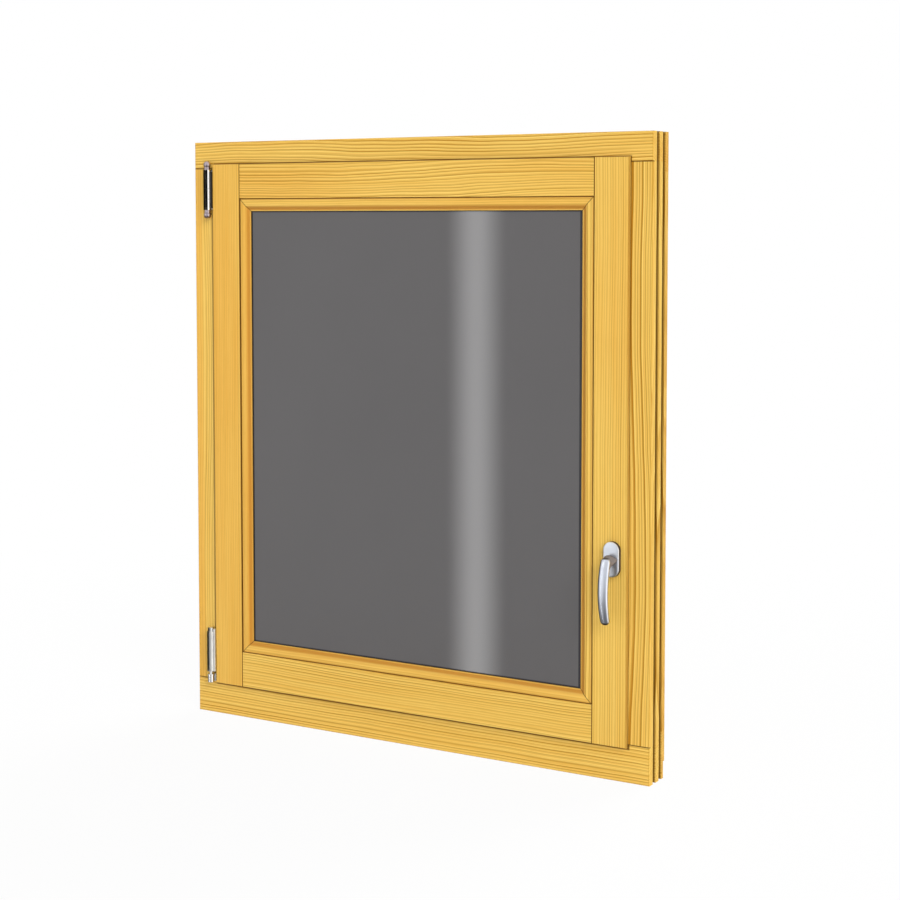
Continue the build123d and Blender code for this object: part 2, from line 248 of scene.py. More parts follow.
class Shader(Generic[Owner]):
    """The node tree of one material or world, written a node at a time."""

    def __init__(self, owner: Owner) -> None:
        """Starts an empty tree.

        Args:
            owner: The material or world that is written.
        """
        self.owner = owner
        self.world = isinstance(owner, bpy.types.World)
        owner.use_nodes = True
        self.tree = owner.node_tree
        self.tree.nodes.clear()

    @classmethod
    def named(cls, name: str) -> "Shader[bpy.types.Material]":
        """Starts a new material."""
        return cls(bpy.data.materials.new(name))

    def node(
        self,
        kind: str,
        settings: Mapping[str, Any] | None = None,
        sockets: Mapping[str | int, Any] | None = None,
    ) -> bpy.types.Node:
        """Adds a node of any type.

        Args:
            kind: The node's type.
            settings: Its own settings, set first.
            sockets: The values or links of its sockets.

        Returns:
            The node.
        """
        made = self.tree.nodes.new(kind)
        for key, value in (settings or {}).items():
            setattr(made, key, value)
        for key, value in (sockets or {}).items():
            slot = made.inputs[key]
            if isinstance(value, Signal):
                self.tree.links.new(value.socket, slot)
            elif isinstance(value, tuple) and len(value) == 3 and slot.type == "RGBA":
                slot.default_value = (*value, 1.0)
            else:
                slot.default_value = value
        return made

    def out(self, made: bpy.types.Node, name: str | int = 0) -> Signal:
        """One of a node's outputs as a signal."""
        return Signal(self.tree, made.outputs[name])

    def place(self, kind: str = "Object") -> tuple[Signal, Signal, Signal]:
        """The point on the piece, in metres along X, Y and Z.

        Args:
            kind: The coordinates' name; a world's Generated ones are the direction looked in.

        Returns:
            The three values.
        """
        where = self.out(self.node("ShaderNodeTexCoord"), kind)
        split = self.node("ShaderNodeSeparateXYZ", sockets={0: where})
        return self.out(split, 0), self.out(split, 1), self.out(split, 2)

    def join(self, x: Signal | float, y: Signal | float, z: Signal | float) -> Signal:
        """A vector from three values."""
        return self.out(self.node("ShaderNodeCombineXYZ", sockets={0: x, 1: y, 2: z}))

    def noise(self, where: Signal, detail: float, scale: float = 1.0) -> Signal:
        """Soft noise from 0 to 1.

        Args:
            where: The vector it is taken at.
            detail: How many finer layers there are.
            scale: How many changes it has for each unit of that vector.

        Returns:
            The noise's value.
        """
        sockets = {"Vector": where, "Scale": scale, "Detail": detail}
        return self.out(self.node("ShaderNodeTexNoise", sockets=sockets), 0)

    def cloud(self, fine: float, detail: float = 2.0) -> Signal:
        """Even noise over the whole piece, with so many changes a metre."""
        return self.noise(self.out(self.node("ShaderNodeTexCoord"), "Object"), detail, fine)

    def chance(self, value: Signal) -> Signal:
        """A random number for each whole value."""
        made = self.node("ShaderNodeTexWhiteNoise", {"noise_dimensions": "1D"}, {"W": value})
        return self.out(made, 0)

    def blend(self, share: Signal | float, first: Signal | Colour, second: Signal | Colour) -> Signal:
        """Mixes two colours.

        Args:
            share: How much of the second is taken.
            first: The colour at 0.
            second: The colour at 1.

        Returns:
            The mixed colour.
        """
        sockets = {0: share, 6: first, 7: second}
        return self.out(self.node("ShaderNodeMix", {"data_type": "RGBA"}, sockets), 2)

    def bump(self, height: Signal, strength: float, depth: float) -> Signal:
        """A normal from a height.

        Args:
            height: The height from 0 to 1.
            strength: How much of it shows.
            depth: How deep a height of 1 is, in metres.

        Returns:
            The normal.
        """
        sockets = {"Strength": strength, "Distance": depth, "Height": height}
        return self.out(self.node("ShaderNodeBump", sockets=sockets))

    def glow(self, colour: Colour, strength: float) -> Signal:
        """An even glow of the world or of a surface."""
        kind = "ShaderNodeBackground" if self.world else "ShaderNodeEmission"
        return self.out(self.node(kind, sockets={"Color": colour, "Strength": strength}))

    def mixed(self, share: Signal | float, first: Signal, second: Signal) -> Signal:
        """Mixes two surfaces.

        Args:
            share: How much of the second is taken.
            first: The surface at 0.
            second: The surface at 1.

        Returns:
            The mixed surface.
        """
        return self.out(self.node("ShaderNodeMixShader", sockets={0: share, 1: first, 2: second}))

    def finish(self, sockets: Mapping[str, Any]) -> Owner:
        """Closes the material with the usual surface.

        Args:
            sockets: The surface's values or links.

        Returns:
            The material.
        """
        surface = self.node("ShaderNodeBsdfPrincipled", sockets=sockets)
        return self.close(self.out(surface))

    def close(self, surface: Signal) -> Owner:
        """Joins a surface to the output and gives back the material or world."""
        kind = "ShaderNodeOutputWorld" if self.world else "ShaderNodeOutputMaterial"
        self.node(kind, sockets={"Surface": surface})
        return self.owner


@dataclass(frozen=True)
class Cut:
    """How one timber was sawn, which sets the figure on its faces.

    Attributes:
        grain: Which way its grain runs.
        pith_across: Where the tree's middle lay across the grain, in metres.
        pith_deep: How deep it lay, as a Y value.
        seed: Sets this timber apart from the others.
        pitch: A year's growth, in millimetres.
        wander: How far the rings drift over the timber's length, in millimetres.
        waver: How far they sway over a hand's breadth, in millimetres.
        contrast: How dark the late wood is.
        tone: How warm the whole timber is; less than 0 is paler.
        heart: How warm the heartwood along the window's outer edge is.
    """

    grain: Run
    pith_across: float
    pith_deep: float
    seed: float
    pitch: float = 5.0
    wander: float = 30.0
    waver: float = 8.0
    contrast: float = 1.0
    tone: float = 0.0
    heart: float = 0.0


@dataclass(frozen=True)
class Shade:
    """A soft dark line of painted shade, in a joint's crack or in the shade of the sash's lip.

    Attributes:
        share: How dark it is.
        reach: How far it reaches to either side, in millimetres.
        full: The share of that reach over which it is full.
    """

    share: float
    reach: float
    full: float = 0.3


# A joint's dark line: painted shade in its crack.
JOINT = Shade(0.9, 1.5, 0.35)


@dataclass(frozen=True)
class Figure:
    """How rings, fibre and tones are drawn, the same on every timber.

    A weave is noise drawn out along the grain: its changes a metre along and across, how many finer layers
    it has and what it adds to the timber's seed. A pair is where a ramp leaves 0 and where it reaches 1. The
    late wood grows faint at end, in metres to either side of the window's middle, over end_fade millimetres.
    """

    fibre: Weave = (22.0, 900.0, 3.0, 0.0)
    slow: Weave = (1.9, 6.0, 0.0, 0.0)
    quick: Weave = (6.0, 14.0, 1.0, 4.0)
    strong: Weave = (2.0, 16.0, 0.0, 13.0)
    streak: Weave = (2.5, 95.0, 2.0, 0.0)
    patch: Weave = (1.6, 9.0, 1.0, 9.0)
    drift_deep: float = 0.5
    uneven_pace: float = 0.35
    uneven_years: float = 1.7
    faint_year: float = 0.3
    late_rise: Pair = (0.4, 0.86)
    late_power: float = 1.5
    late_drop: Pair = (0.9, 1.0)
    fine_lines: float = 2.37
    fine_rise: Pair = (0.45, 0.85)
    fine_drop: Pair = (0.88, 1.0)
    fine_share: float = 0.28
    strong_ramp: Pair = (0.2, 0.75)
    strong_span: float = 0.6
    strong_least: float = 0.65
    end: float = 0.522
    end_fade: float = 1.2
    end_share: float = 0.75
    early_ramp: Pair = (0.0, 0.45)
    streak_ramp: Pair = (0.3, 0.72)
    patch_ramp: Pair = (0.42, 0.8)
    patch_share: float = 0.5
    fibre_ramp: Pair = (0.5, 0.85)
    fibre_share: float = 0.25


FIGURE = Figure()


@dataclass(frozen=True)
class PineFinish:
    """Oiled pine, with the colours of painted shade in its joints and grooves, under the sash's lip, on its outer
    sides and on its mouldings' shaded sides.
    """

    early: Colour = srgb(252, 218, 116)
    body: Colour = srgb(240, 192, 86)
    late: Colour = srgb(182, 126, 20)
    warm: Colour = srgb(234, 170, 62)
    # Painted shade in joints, quirks and mitres, at the beads' lip edges and under the sash's lip.
    seam: Colour = srgb(98, 60, 5)
    # Painted shade in the frame's side grooves.
    groove: Colour = srgb(104, 72, 20)
    # Painted shade on the beads' falls, beside their quirks and on the frame's outer sides.
    fall: Colour = srgb(196, 134, 46)
    roughness: float = 0.42
    fibre_rough: float = 0.12
    late_rough: float = 0.05
    gloss: float = 0.25
    fibre_high: float = 0.5
    late_high: float = 0.35
    relief: float = 0.16
    relief_deep: float = 0.25


PINE = PineFinish()


class Board:
    """The pine of one timber: its figure first, with marks laid over it."""

    fade: float = 2 * MM

    def __init__(self, name: str, cut: Cut) -> None:
        """Works out the figure.

        Args:
            name: The material's name.
            cut: How the timber was sawn.
        """
        self.shader = Shader.named(name)
        self.x, self.y, self.z = self.shader.place()
        self.along, self.across = (self.x, self.z) if cut.grain is Run.ACROSS else (self.z, self.x)
        self.fibre = self.veil(cut.seed, FIGURE.fibre)
        self.season, self.late = self.rings(cut)
        self.colour = self.tones(cut)

    def veil(self, seed: float, weave: Weave) -> Signal:
        """Noise drawn out along the grain.

        Args:
            seed: Sets this timber apart from the others.
            weave: How the noise is drawn.

        Returns:
            The noise.
        """
        long, short, detail, step = weave
        start = seed + step
        where = self.shader.join(self.along * long + start, self.across * short, self.y * short + start)
        return self.shader.noise(where, detail)

    def rings(self, cut: Cut) -> tuple[Signal, Signal]:
        """The yearly rings.

        Args:
            cut: How the timber was sawn.

        Returns:
            How far through its year the wood is and how dark the late wood makes it, both from 0 to 1.
        """
        slow, quick = self.veil(cut.seed, FIGURE.slow), self.veil(cut.seed, FIGURE.quick)
        drift = (slow - 0.5) * (cut.wander * MM) + (quick - 0.5) * (cut.waver * MM)
        side = self.across - cut.pith_across + drift
        deep = self.y - cut.pith_deep + drift * FIGURE.drift_deep
        year = (side * side + deep * deep).root() / (cut.pitch * MM)
        pace = self.shader.join(year * FIGURE.uneven_pace + cut.seed, 0.0, 0.0)
        year = year + self.shader.noise(pace, 0.0) * FIGURE.uneven_years
        season = year.part()
        chance = self.shader.chance(year.whole() + cut.seed)
        strength = FIGURE.faint_year + chance * (1.0 - FIGURE.faint_year)
        dark = season.between(*FIGURE.late_rise) ** FIGURE.late_power
        dark = dark * (1.0 - season.between(*FIGURE.late_drop)) * strength
        within = (year * FIGURE.fine_lines).part()
        fine = within.between(*FIGURE.fine_rise) * (1.0 - within.between(*FIGURE.fine_drop))
        patches = self.veil(cut.seed, FIGURE.strong).between(*FIGURE.strong_ramp)
        strong = patches * FIGURE.strong_span + FIGURE.strong_least
        past = self.x.size().between(FIGURE.end, FIGURE.end + FIGURE.end_fade * MM)
        late = (dark + fine * FIGURE.fine_share) * strong * (1.0 - past * FIGURE.end_share)
        return season, late * cut.contrast

    def tones(self, cut: Cut) -> Signal:
        """The wood's colour before any mark."""
        blend = self.shader.blend
        streak = self.veil(cut.seed, FIGURE.streak).between(*FIGURE.streak_ramp)
        patch = self.veil(cut.seed, FIGURE.patch).between(*FIGURE.patch_ramp)
        body = (self.season.between(*FIGURE.early_ramp) + streak) * 0.5
        colour = blend(body, PINE.early, PINE.body)
        colour = blend((patch * FIGURE.patch_share + cut.tone).least(1.0), colour, PINE.warm)
        colour = blend(self.late.least(1.0), colour, PINE.late)
        return blend(self.fibre.between(*FIGURE.fibre_ramp) * FIGURE.fibre_share, colour, PINE.late)

    def mark(self, share: Signal, colour: Colour) -> None:
        """Lays a tone over the figure.

        Args:
            share: Where and how strongly it shows.
            colour: The tone.
        """
        self.colour = self.shader.blend(share, self.colour, colour)

    def inside(self, depth: float) -> Signal:
        """Full on what lies nearer the room than a depth, and fading out just past it."""
        return self.y.between(depth + self.fade, depth)

    def soft_line(self, distance: Signal, depth: float, shade: Shade) -> None:
        """Lays a soft dark line of painted shade where a distance is about nothing.

        Args:
            distance: The distance from the line's middle.
            depth: How deep the line goes, as a Y value.
            shade: How dark and wide it is.
        """
        reach = shade.reach * MM
        near = distance.size().between(reach, reach * shade.full)
        # Lays the painted shade.
        self.mark(near * self.inside(depth) * shade.share, PINE.seam)

    def line(self, run: Run, place: float, depth: float) -> None:
        """Lays a joint's dark line: painted shade in its crack.

        Args:
            run: Which way the line runs.
            place: Its place across that, in metres.
            depth: How deep it goes, as a Y value.
        """
        across = self.x if run is Run.UPRIGHT else self.z
        self.soft_line(across - place, depth, JOINT)

    def outline(self, low: Vector, high: Vector, depth: float, shade: Shade) -> None:
        """Lays a line of painted shade round an upright rectangle.

        Args:
            low: Its lower left corner.
            high: Its upper right corner.
            depth: How deep the line goes, as a Y value.
            shade: How dark and wide it is.
        """
        middle, half = (low + high) / 2, (high - low) / 2
        aside = (self.x - middle.x).size() - half.x
        above = (self.z - middle.z).size() - half.z
        self.soft_line(aside.most(above), depth, shade)

    def material(self) -> bpy.types.Material:
        """Closes the board's material."""
        height = self.late * PINE.late_high + self.fibre * PINE.fibre_high
        return self.shader.finish(
            {
                "Base Color": self.colour,
                "Roughness": self.fibre * PINE.fibre_rough + self.late * PINE.late_rough + PINE.roughness,
                "Normal": self.shader.bump(height, PINE.relief, PINE.relief_deep * MM),
                "Specular IOR Level": PINE.gloss,
            }
        )


@dataclass(frozen=True)
class MetalFinish:
    """Cast or drawn metal with a fine, even surface."""

    name: str
    colour: Colour
    dull: Colour
    roughness: float
    grit: float = 900.0
    grit_rough: float = 0.06
    clouds: float = 40.0
    cloud_ramp: Pair = (0.35, 0.7)
    cloud_rough: float = 0.08
    relief: float = 0.04
    relief_deep: float = 0.05
    # The colour of painted shade along an edge, where the piece has one.
    edge: Colour = srgb(56, 52, 62)

    def material(self, rim: Callable[[Signal, Signal, Signal], Signal] | None = None) -> bpy.types.Material:
        """Makes the metal.

        Args:
            rim: Gives how far the painted shade along an edge shows at a point, where the piece has one.

        Returns:
            The material.
        """
        shader = Shader.named(self.name)
        grain, cloud = shader.cloud(self.grit), shader.cloud(self.clouds)
        colour = shader.blend(cloud.between(*self.cloud_ramp), self.colour, self.dull)
        # Painted shade along an edge, where the piece has one.
        if rim:
            colour = shader.blend(rim(*shader.place()), colour, self.edge)
        uneven = (cloud - 0.5) * self.cloud_rough + (grain - 0.5) * self.grit_rough
        return shader.finish(
            {
                "Base Color": colour,
                "Metallic": 1.0,
                "Roughness": self.roughness + uneven,
                "Normal": shader.bump(grain, self.relief, self.relief_deep * MM),
            }
        )


@dataclass(frozen=True)
class LeafFinish:
    """Steel that is bright up to an edge and black past it."""

    name: str = "two_tone_hinge_leaf"
    bright: Colour = srgb(244, 243, 240)
    black: Colour = srgb(18, 15, 13)
    change: Ramp = Ramp(-0.3, 0.3)
    clouds: float = 40.0
    cloud_rough: float = 0.1
    roughness: float = 0.15
    black_rough: float = 0.35

    def material(self, edge: float) -> bpy.types.Material:
        """Makes the steel.

        Args:
            edge: The X value at which it turns black, in metres.

        Returns:
            The material.
        """
        shader = Shader.named(self.name)
        x, _, _ = shader.place()
        black, cloud = self.change.over(x - edge), shader.cloud(self.clouds)
        return shader.finish(
            {
                "Base Color": shader.blend(black, self.bright, self.black),
                "Metallic": 1.0 - black,
                "Roughness": cloud * self.cloud_rough + self.roughness + black * self.black_rough,
            }
        )


@dataclass(frozen=True)
class GlassFinish:
    """Grey glass that shows mostly its own tone and a soft reflection, with painted shade where the beads shade it.

    The film is how many changes a metre its faint haze has along X, Y and Z. The shade is measured from the
    beads' edges out over the glass, and comes in shade_right millimetres farther beside the right bead.
    """

    name: str = "grey_glass"
    tone: Colour = srgb(90, 88, 89)
    haze: Colour = srgb(93, 91, 92)
    film: Point = (3.0, 1.0, 2.2)
    film_ramp: Pair = (0.3, 0.8)
    # The colour of the painted shade along the glass's edges where the beads shade it.
    rim: Colour = srgb(30, 29, 34)
    shade: Ramp = Ramp(-3.4, -1.36, 0.9)
    shade_right: float = 4.0
    roughness: float = 0.03
    film_rough: float = 0.01
    bends: float = 1.5

    def material(self) -> bpy.types.Material:
        """Makes the glass."""
        shader = Shader.named(self.name)
        x, y, z = shader.place()
        film = shader.noise(shader.join(x * self.film[0], y * self.film[1], z * self.film[2]), 2.0)
        # Painted shade along the glass's edges, reaching farther beside the right bead.
        left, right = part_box("glazing_bead_left")[1].x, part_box("glazing_bead_right")[0].x
        right -= self.shade_right * MM
        low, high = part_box("glazing_bead_bottom")[1].z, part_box("glazing_bead_top")[0].z
        aside = (x - (left + right) / 2).size() - (right - left) / 2
        above = (z - (low + high) / 2).size() - (high - low) / 2
        tone = shader.blend(film.between(*self.film_ramp), self.tone, self.haze)
        return shader.finish(
            {
                "Base Color": shader.blend(self.shade.over(aside.most(above)), tone, self.rim),
                "Roughness": self.roughness + film * self.film_rough,
                "IOR": self.bends,
            }
        )


@dataclass(frozen=True)
class SoftFinish:
    """Rubber or moulded plastic with a faint uneven bloom."""

    name: str
    colour: Colour
    bloom: Colour
    roughness: float
    specks: float = 1500.0
    speck_rough: float = 0.08
    clouds: float = 25.0
    cloud_ramp: Pair = (0.4, 0.75)
    relief: float = 0.08
    relief_deep: float = 0.05

    def material(self) -> bpy.types.Material:
        """Makes the rubber or plastic."""
        shader = Shader.named(self.name)
        speck = shader.cloud(self.specks, 1.0)
        bloom = shader.cloud(self.clouds).between(*self.cloud_ramp)
        return shader.finish(
            {
                "Base Color": shader.blend(bloom, self.colour, self.bloom),
                "Roughness": self.roughness + speck * self.speck_rough,
                "Normal": shader.bump(speck, self.relief, self.relief_deep * MM),
            }
        )


# The rosette's satin metal is set lighter than the lever's: painted light on its face.
SATIN = MetalFinish("satin_rosette_metal", srgb(238, 243, 252), srgb(226, 232, 244), 0.4, relief=0.015)
LEVER = MetalFinish("satin_lever_metal", srgb(226, 231, 242), srgb(214, 220, 232), 0.3, relief=0.015)
POLISHED = MetalFinish("polished_hinge_steel", srgb(244, 243, 240), srgb(228, 227, 224), 0.14, relief=0.02)
NICKEL = MetalFinish("satin_hinge_nickel", srgb(241, 240, 235), srgb(229, 228, 223), 0.36, relief=0.015)
CAP_NICKEL = MetalFinish("satin_cap_nickel", srgb(198, 184, 190), srgb(178, 164, 170), 0.3, relief=0.015)
STEEL = MetalFinish("plain_spindle_steel", srgb(176, 176, 178), srgb(150, 150, 152), 0.35)
ALUMINIUM = MetalFinish("anodised_rail", srgb(205, 207, 210), srgb(190, 192, 196), 0.34)
SPACER = MetalFinish("spacer_bar_metal", srgb(150, 151, 153), srgb(132, 133, 135), 0.4)
# The neck's darker grey stands for the shade it sits in: painted shade.
NECK_SHADE = SoftFinish("handle_neck_shade", srgb(126, 117, 113), srgb(116, 108, 105), 0.5)
# The rosette's side wall is coloured dark: painted shade.
ROSE_SIDE_SHADE = SoftFinish("rosette_side_shade", srgb(46, 41, 46), srgb(54, 49, 54), 0.5)
RUBBER = SoftFinish("black_gasket_rubber", srgb(34, 32, 30), srgb(46, 43, 40), 0.62)
CAP_PLASTIC = SoftFinish("rail_cap_plastic", srgb(58, 57, 56), srgb(66, 65, 63), 0.5)
GLASS = GlassFinish()
LEAF = LeafFinish()


def dress(piece: bpy.types.Object, material: bpy.types.Material) -> None:
    """Gives a piece one material in place of any it has."""
    piece.data.materials.clear()
    piece.data.materials.append(material)


def dress_node(node: str, material: bpy.types.Material) -> None:
    """Gives a carried-over node its finish.

    Args:
        node: The construction's node.
        material: The finish.
    """
    dress(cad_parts[node], material)
    log.info("dressed %s", node)


def add_mesh(
    name: str,
    points: Sequence[Point],
    faces: Sequence[Sequence[int]],
    material: bpy.types.Material,
) -> bpy.types.Object:
    """Makes a mesh piece, smooth except at its sharp edges.

    Args:
        name: The piece's name.
        points: Its points in metres.
        faces: Its faces as point numbers.
        material: Its finish.

    Returns:
        The piece.
    """
    mesh = bpy.data.meshes.new(name)
    mesh.from_pydata([tuple(p) for p in points], [], [tuple(f) for f in faces])
    mesh.validate()
    mesh.update()
    mesh.shade_smooth()
    mesh.set_sharp_from_angle(angle=SMOOTH_BELOW)
    piece = bpy.data.objects.new(name, mesh)
    bpy.context.scene.collection.objects.link(piece)
    dress(piece, material)
    return piece


def bridge(rows: Sequence[Sequence[Point]], closed: bool) -> tuple[list[Point], list[list[int]]]:
    """Skins a stack of loops that have the same number of points.

    Args:
        rows: The loops in order.
        closed: Whether the first and last loops are filled.

    Returns:
        Points and faces.
    """
    count = len(rows[0])
    points = [point for row in rows for point in row]
    faces = []
    for level in range(len(rows) - 1):
        base, above = level * count, (level + 1) * count
        for i in range(count):
            j = (i + 1) % count
            faces.append([base + i, base + j, above + j, above + i])
    if closed:
        faces.append(list(range(count))[::-1])
        faces.append([(len(rows) - 1) * count + i for i in range(count)])
    return points, faces


def rounded(outline: Sequence[Sequence[float]], steps: int) -> list[Pair]:
    """An open section whose corners are rounded.

    Args:
        outline: Its points, where a third number rounds that corner.
        steps: How many pieces each round has.

    Returns:
        The section's points.
    """
    done: list[Pair] = []
    for index, (across, down, *radius) in enumerate(outline):
        if not radius:
            done.append((across, down))
            continue
        here = Vector((across, down))
        back = (Vector(outline[index - 1][:2]) - here).normalized()
        onward = (Vector(outline[index + 1][:2]) - here).normalized()
        half = back.angle(onward) / 2
        centre = here + (back + onward).normalized() * (radius[0] / math.sin(half))
        reach = radius[0] / math.tan(half)
        first, last = here + back * reach - centre, here + onward * reach - centre
        start = math.atan2(first.y, first.x)
        sweep = (math.atan2(last.y, last.x) - start + math.pi) % (2 * math.pi) - math.pi
        for step in range(steps + 1):
            turn = start + sweep * step / steps
            done.append((centre.x + radius[0] * math.cos(turn), centre.y + radius[0] * math.sin(turn)))
    return done


def seat(piece: bpy.types.Object, body: str, slot: str, *nodes: str) -> None:
    """Puts a finer piece in place of the construction's.

    Args:
        piece: The piece.
        body: The body it moves with.
        slot: The record's material slot; not used.
        nodes: The nodes it stands for.
    """
    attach(piece, body)
    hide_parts(*nodes)
    log.info("built %s", piece.name)


@dataclass
class SashLip:
    """The edges of the sash's lip and the beads, read off the construction."""

    shadow_depth: float = -0.030
    face_depth: float = -0.036

    def __post_init__(self) -> None:
        """Reads the boxes."""
        left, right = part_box("sash_stile_left"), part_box("sash_stile_right")
        self.low = Vector((left[0].x, 0.0, left[0].z))
        self.high = Vector((right[1].x, 0.0, right[1].z))
        self.bead_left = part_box("glazing_bead_left")[0].x
        self.bead_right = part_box("glazing_bead_right")[1].x


@dataclass
class FrameTimbers:
    """Head, bottom rail and the two jambs between them, with grooves down their outer sides.

    Sizes are in millimetres. The faces are how wide the head and the bottom rail show. The ramps of the tones and
    of the painted shade are measured in from the nearer outer side, but side_back is measured back from the
    frame's face and groove_edge out from a groove's edge. Each member has its node, how it was sawn and the
    painted shadow line round the sash on it.
    """

    head_face: float = 54.5
    sill_face: float = 72.0
    heart: Ramp = Ramp(21.0, 15.0)
    # Painted shade on the outer sides, darker towards the back.
    side: Ramp = Ramp(0.9, 0.3)
    side_share: float = 0.1
    side_back: Ramp = Ramp(44.0, 60.0, 0.35)
    arris: Ramp = Ramp(2.4, 1.4, 0.45)
    arris_end: Ramp = Ramp(0.2, 0.8)
    arris_deep: float = 1.5
    # Painted shade in the grooves.
    groove: Ramp = Ramp(0.2, 4.0)
    groove_end: Ramp = Ramp(8.0, 7.5)
    groove_edge: Ramp = Ramp(0.6, 0.2, 0.92)
    groove_width: float = 12.5
    groove_middles: Pair = (21.75, 47.75)
    members: tuple[tuple[str, Cut, Shade], ...] = (
        (
            "frame_head",
            Cut(Run.ACROSS, 1.29, 0.05, 3.1, pitch=4.8, wander=34.0, waver=7.0, contrast=0.95),
            Shade(0.95, 2.4),
        ),
        (
            "frame_sill",
            Cut(Run.ACROSS, -0.10, 0.05, 8.4, pitch=4.8, wander=34.0, waver=7.0, contrast=0.9, tone=-0.2),
            Shade(0.85, 4.4, 0.75),
        ),
        (
            "frame_jamb_left",
            Cut(Run.UPRIGHT, -0.62, 0.03, 5.7, pitch=5.6, waver=4.0, contrast=0.65, tone=-0.1, heart=0.5),
            Shade(0.6, 9.7, 0.85),
        ),
        (
            "frame_jamb_right",
            Cut(Run.UPRIGHT, 0.38, 0.03, 1.9, pitch=6.2, wander=50.0, waver=9.0, contrast=1.5, tone=-0.2),
            Shade(0.6, 2.0),
        ),
    )
    lip: SashLip = field(default_factory=SashLip)

    def build(self) -> None:
        """Dresses the four members."""
        for node, cut, shade in self.members:
            self.timber(node, cut, shade)

    def timber(self, node: str, cut: Cut, shade: Shade) -> None:
        """Dresses one member with painted shade at its seams, on its sides and in its grooves, and the sash's
        painted shadow line.

        Args:
            node: The construction's node.
            cut: How the timber was sawn.
            shade: The painted shadow line round the sash on it.
        """
        _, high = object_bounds()
        board = Board(f"pine_{node}", cut)
        inset = high[0] - board.x.size()
        if cut.heart:
            board.mark(self.heart.over(inset) * cut.heart, PINE.warm)
        # Dark lines at the head's and bottom rail's joints: painted shade in their cracks.
        for height in (high[2] - self.head_face * MM, self.sill_face * MM):
            board.line(Run.ACROSS, height, self.lip.shadow_depth)
        # Painted shadow of the sash's lip on the frame's face.
        board.outline(self.lip.low, self.lip.high, self.lip.shadow_depth, shade)
        self.side_tone(board, inset)
        dress_node(node, board.material())

    def side_tone(self, board: Board, inset: Signal) -> None:
        """Paints shade on both outer sides, darker towards the back and most of all in their grooves, and deepens
        the tone at the arris.

        Args:
            board: The member's pine.
            inset: How far in from the nearer outer side a point is.
        """
        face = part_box("frame_head")[0].y
        back = board.y - face
        # Painted shade on the outer sides, darker towards the back.
        board.mark(self.side.over(inset) * (self.side_back.over(back) + self.side_share), PINE.fall)
        arris = self.arris.over(inset) * self.arris_end.over(inset)
        board.mark(arris * board.inside(face + self.arris_deep * MM), PINE.late)
        # Painted shade in the grooves.
        depth = self.groove.over(inset) * self.groove_end.over(inset)
        for middle in self.groove_middles:
            past = (back - middle * MM).size() - self.groove_width / 2 * MM
            board.mark(self.groove_edge.over(past) * depth, PINE.groove)


@dataclass
class SashTimbers:
    """The sash's two stiles and the rails between them.

    Each member has its node, how it was sawn and how dark the painted shade along its outer edge is, over
    edge_reach millimetres.
    """

    edge_reach: float = 1.8
    members: tuple[tuple[str, Cut, float], ...] = (
        (
            "sash_stile_left",
            Cut(Run.UPRIGHT, -0.60, 0.02, 12.3, pitch=4.2, wander=8.0, waver=3.0, contrast=0.45, tone=0.4),
            0.65,
        ),
        (
            "sash_stile_right",
            Cut(Run.UPRIGHT, 0.62, -0.02, 15.6, pitch=5.2, wander=10.0, waver=3.0, contrast=0.7),
            0.45,
        ),
        ("sash_rail_top", Cut(Run.ACROSS, 1.25, 0.03, 22.2, pitch=4.6, wander=36.0), 0.9),
        (
            "sash_rail_bottom",
            Cut(Run.ACROSS, -0.04, 0.04, 27.5, pitch=4.8, waver=6.0, contrast=0.8, tone=-0.2),
            0.9,
        ),
    )
    lip: SashLip = field(default_factory=SashLip)

    def build(self) -> None:
        """Dresses the four members."""
        for node, cut, edge in self.members:
            self.timber(node, cut, edge)

    def timber(self, node: str, cut: Cut, edge: float) -> None:
        """Dresses one member with painted shade at its seams and along its outer edge.

        Args:
            node: The construction's node.
            cut: How the timber was sawn.
            edge: How dark the painted shade along its outer edge is.
        """
        board = Board(f"pine_{node}", cut)
        # Dark lines where the stiles meet the rails: painted shade in their cracks.
        for place in (self.lip.bead_left, self.lip.bead_right):
            board.line(Run.UPRIGHT, place, self.lip.face_depth)
        # Painted shade along the sash's outer edge by the gap to the frame.
        board.outline(self.lip.low, self.lip.high, self.lip.face_depth, Shade(edge, self.edge_reach))
        dress_node(node, board.material())


